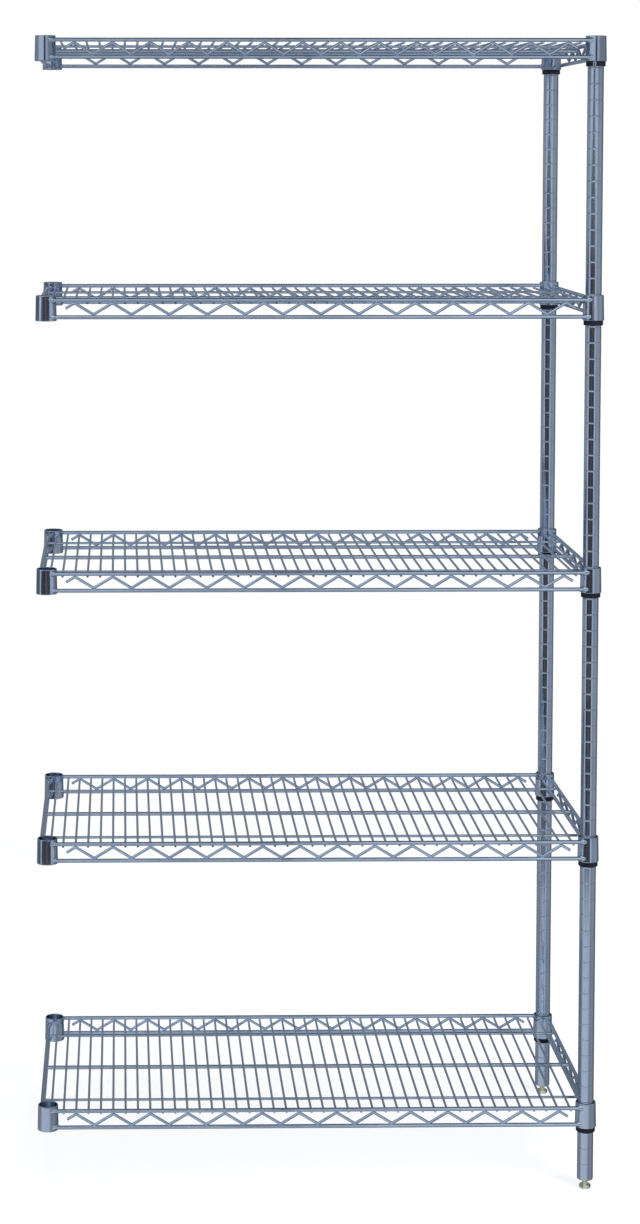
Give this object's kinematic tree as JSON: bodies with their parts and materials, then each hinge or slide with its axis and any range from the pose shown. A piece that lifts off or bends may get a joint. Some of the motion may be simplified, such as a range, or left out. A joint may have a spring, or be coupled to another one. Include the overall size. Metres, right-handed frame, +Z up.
{
  "type": "wire shelving rack",
  "caption": "Open wire shelving add-on rack: welded wire shelves on two grooved posts at the right, with empty collars at the left and levelling feet.",
  "frame": {"origin": "on the floor, under the middle of the rack", "axes": "+Z up, -Y to the front, +X towards the end with the posts"},
  "size_m": [0.8958, 0.4538, 1.8434],
  "materials": {
    "chrome_wire": "bright nickel-chrome plate on welded wire",
    "chrome_collar": "bright nickel-chrome plate on pressed collars",
    "chrome_post": "bright nickel-chrome plate on grooved tube",
    "zinc": "pale yellow zinc plate",
    "sleeve_plastic": "black moulded plastic",
    "cap_plastic": "dark grey moulded plastic"
  },
  "bodies": {
    "frame": {"bottom_front_sleeve": "sleeve_plastic", "bottom_rear_sleeve": "sleeve_plastic", "lower_front_sleeve": "sleeve_plastic", "lower_rear_sleeve": "sleeve_plastic", "middle_front_sleeve": "sleeve_plastic", "middle_rear_sleeve": "sleeve_plastic", "upper_front_sleeve": "sleeve_plastic", "upper_rear_sleeve": "sleeve_plastic", "top_front_sleeve": "sleeve_plastic", "top_rear_sleeve": "sleeve_plastic", "front_post": "chrome_post", "front_post_cap": "cap_plastic", "front_foot_insert": "zinc", "rear_post": "chrome_post", "rear_post_cap": "cap_plastic", "rear_foot_insert": "zinc"},
    "bottom_shelf": {"bottom_shelf_mat_wires": "chrome_wire", "bottom_shelf_support_rods": "chrome_wire", "bottom_shelf_upper_frame": "chrome_wire", "bottom_shelf_lower_frame": "chrome_wire", "bottom_shelf_long_trusses": "chrome_wire", "bottom_shelf_side_trusses": "chrome_wire", "bottom_shelf_left_collars": "chrome_collar", "bottom_shelf_right_collars": "chrome_collar"},
    "lower_shelf": {"lower_shelf_mat_wires": "chrome_wire", "lower_shelf_support_rods": "chrome_wire", "lower_shelf_upper_frame": "chrome_wire", "lower_shelf_lower_frame": "chrome_wire", "lower_shelf_long_trusses": "chrome_wire", "lower_shelf_side_trusses": "chrome_wire", "lower_shelf_left_collars": "chrome_collar", "lower_shelf_right_collars": "chrome_collar"},
    "middle_shelf": {"middle_shelf_mat_wires": "chrome_wire", "middle_shelf_support_rods": "chrome_wire", "middle_shelf_upper_frame": "chrome_wire", "middle_shelf_lower_frame": "chrome_wire", "middle_shelf_long_trusses": "chrome_wire", "middle_shelf_side_trusses": "chrome_wire", "middle_shelf_left_collars": "chrome_collar", "middle_shelf_right_collars": "chrome_collar"},
    "upper_shelf": {"upper_shelf_mat_wires": "chrome_wire", "upper_shelf_support_rods": "chrome_wire", "upper_shelf_upper_frame": "chrome_wire", "upper_shelf_lower_frame": "chrome_wire", "upper_shelf_long_trusses": "chrome_wire", "upper_shelf_side_trusses": "chrome_wire", "upper_shelf_left_collars": "chrome_collar", "upper_shelf_right_collars": "chrome_collar"},
    "top_shelf": {"top_shelf_mat_wires": "chrome_wire", "top_shelf_support_rods": "chrome_wire", "top_shelf_upper_frame": "chrome_wire", "top_shelf_lower_frame": "chrome_wire", "top_shelf_long_trusses": "chrome_wire", "top_shelf_side_trusses": "chrome_wire", "top_shelf_left_collars": "chrome_collar", "top_shelf_right_collars": "chrome_collar"},
    "front_foot": {"front_levelling_foot": "zinc"},
    "rear_foot": {"rear_levelling_foot": "zinc"}
  },
  "joints": [
    {"name": "bottom_shelf_lift", "type": "slide", "parent": "frame", "child": "bottom_shelf", "axis": [0, 0, 1], "range_m": [0, 0.379]},
    {"name": "lower_shelf_lift", "type": "slide", "parent": "frame", "child": "lower_shelf", "axis": [0, 0, 1], "range_m": [0, 0.379]},
    {"name": "middle_shelf_lift", "type": "slide", "parent": "frame", "child": "middle_shelf", "axis": [0, 0, 1], "range_m": [0, 0.379]},
    {"name": "upper_shelf_lift", "type": "slide", "parent": "frame", "child": "upper_shelf", "axis": [0, 0, 1], "range_m": [0, 0.354]},
    {"name": "top_shelf_lift", "type": "slide", "parent": "frame", "child": "top_shelf", "axis": [0, 0, 1], "range_m": [0, 0.08]},
    {"name": "front_foot_screw", "type": "slide", "parent": "frame", "child": "front_foot", "axis": [0, 0, -1], "range_m": [-0.005, 0.02]},
    {"name": "rear_foot_screw", "type": "slide", "parent": "frame", "child": "rear_foot", "axis": [0, 0, -1], "range_m": [-0.005, 0.02]}
  ]
}
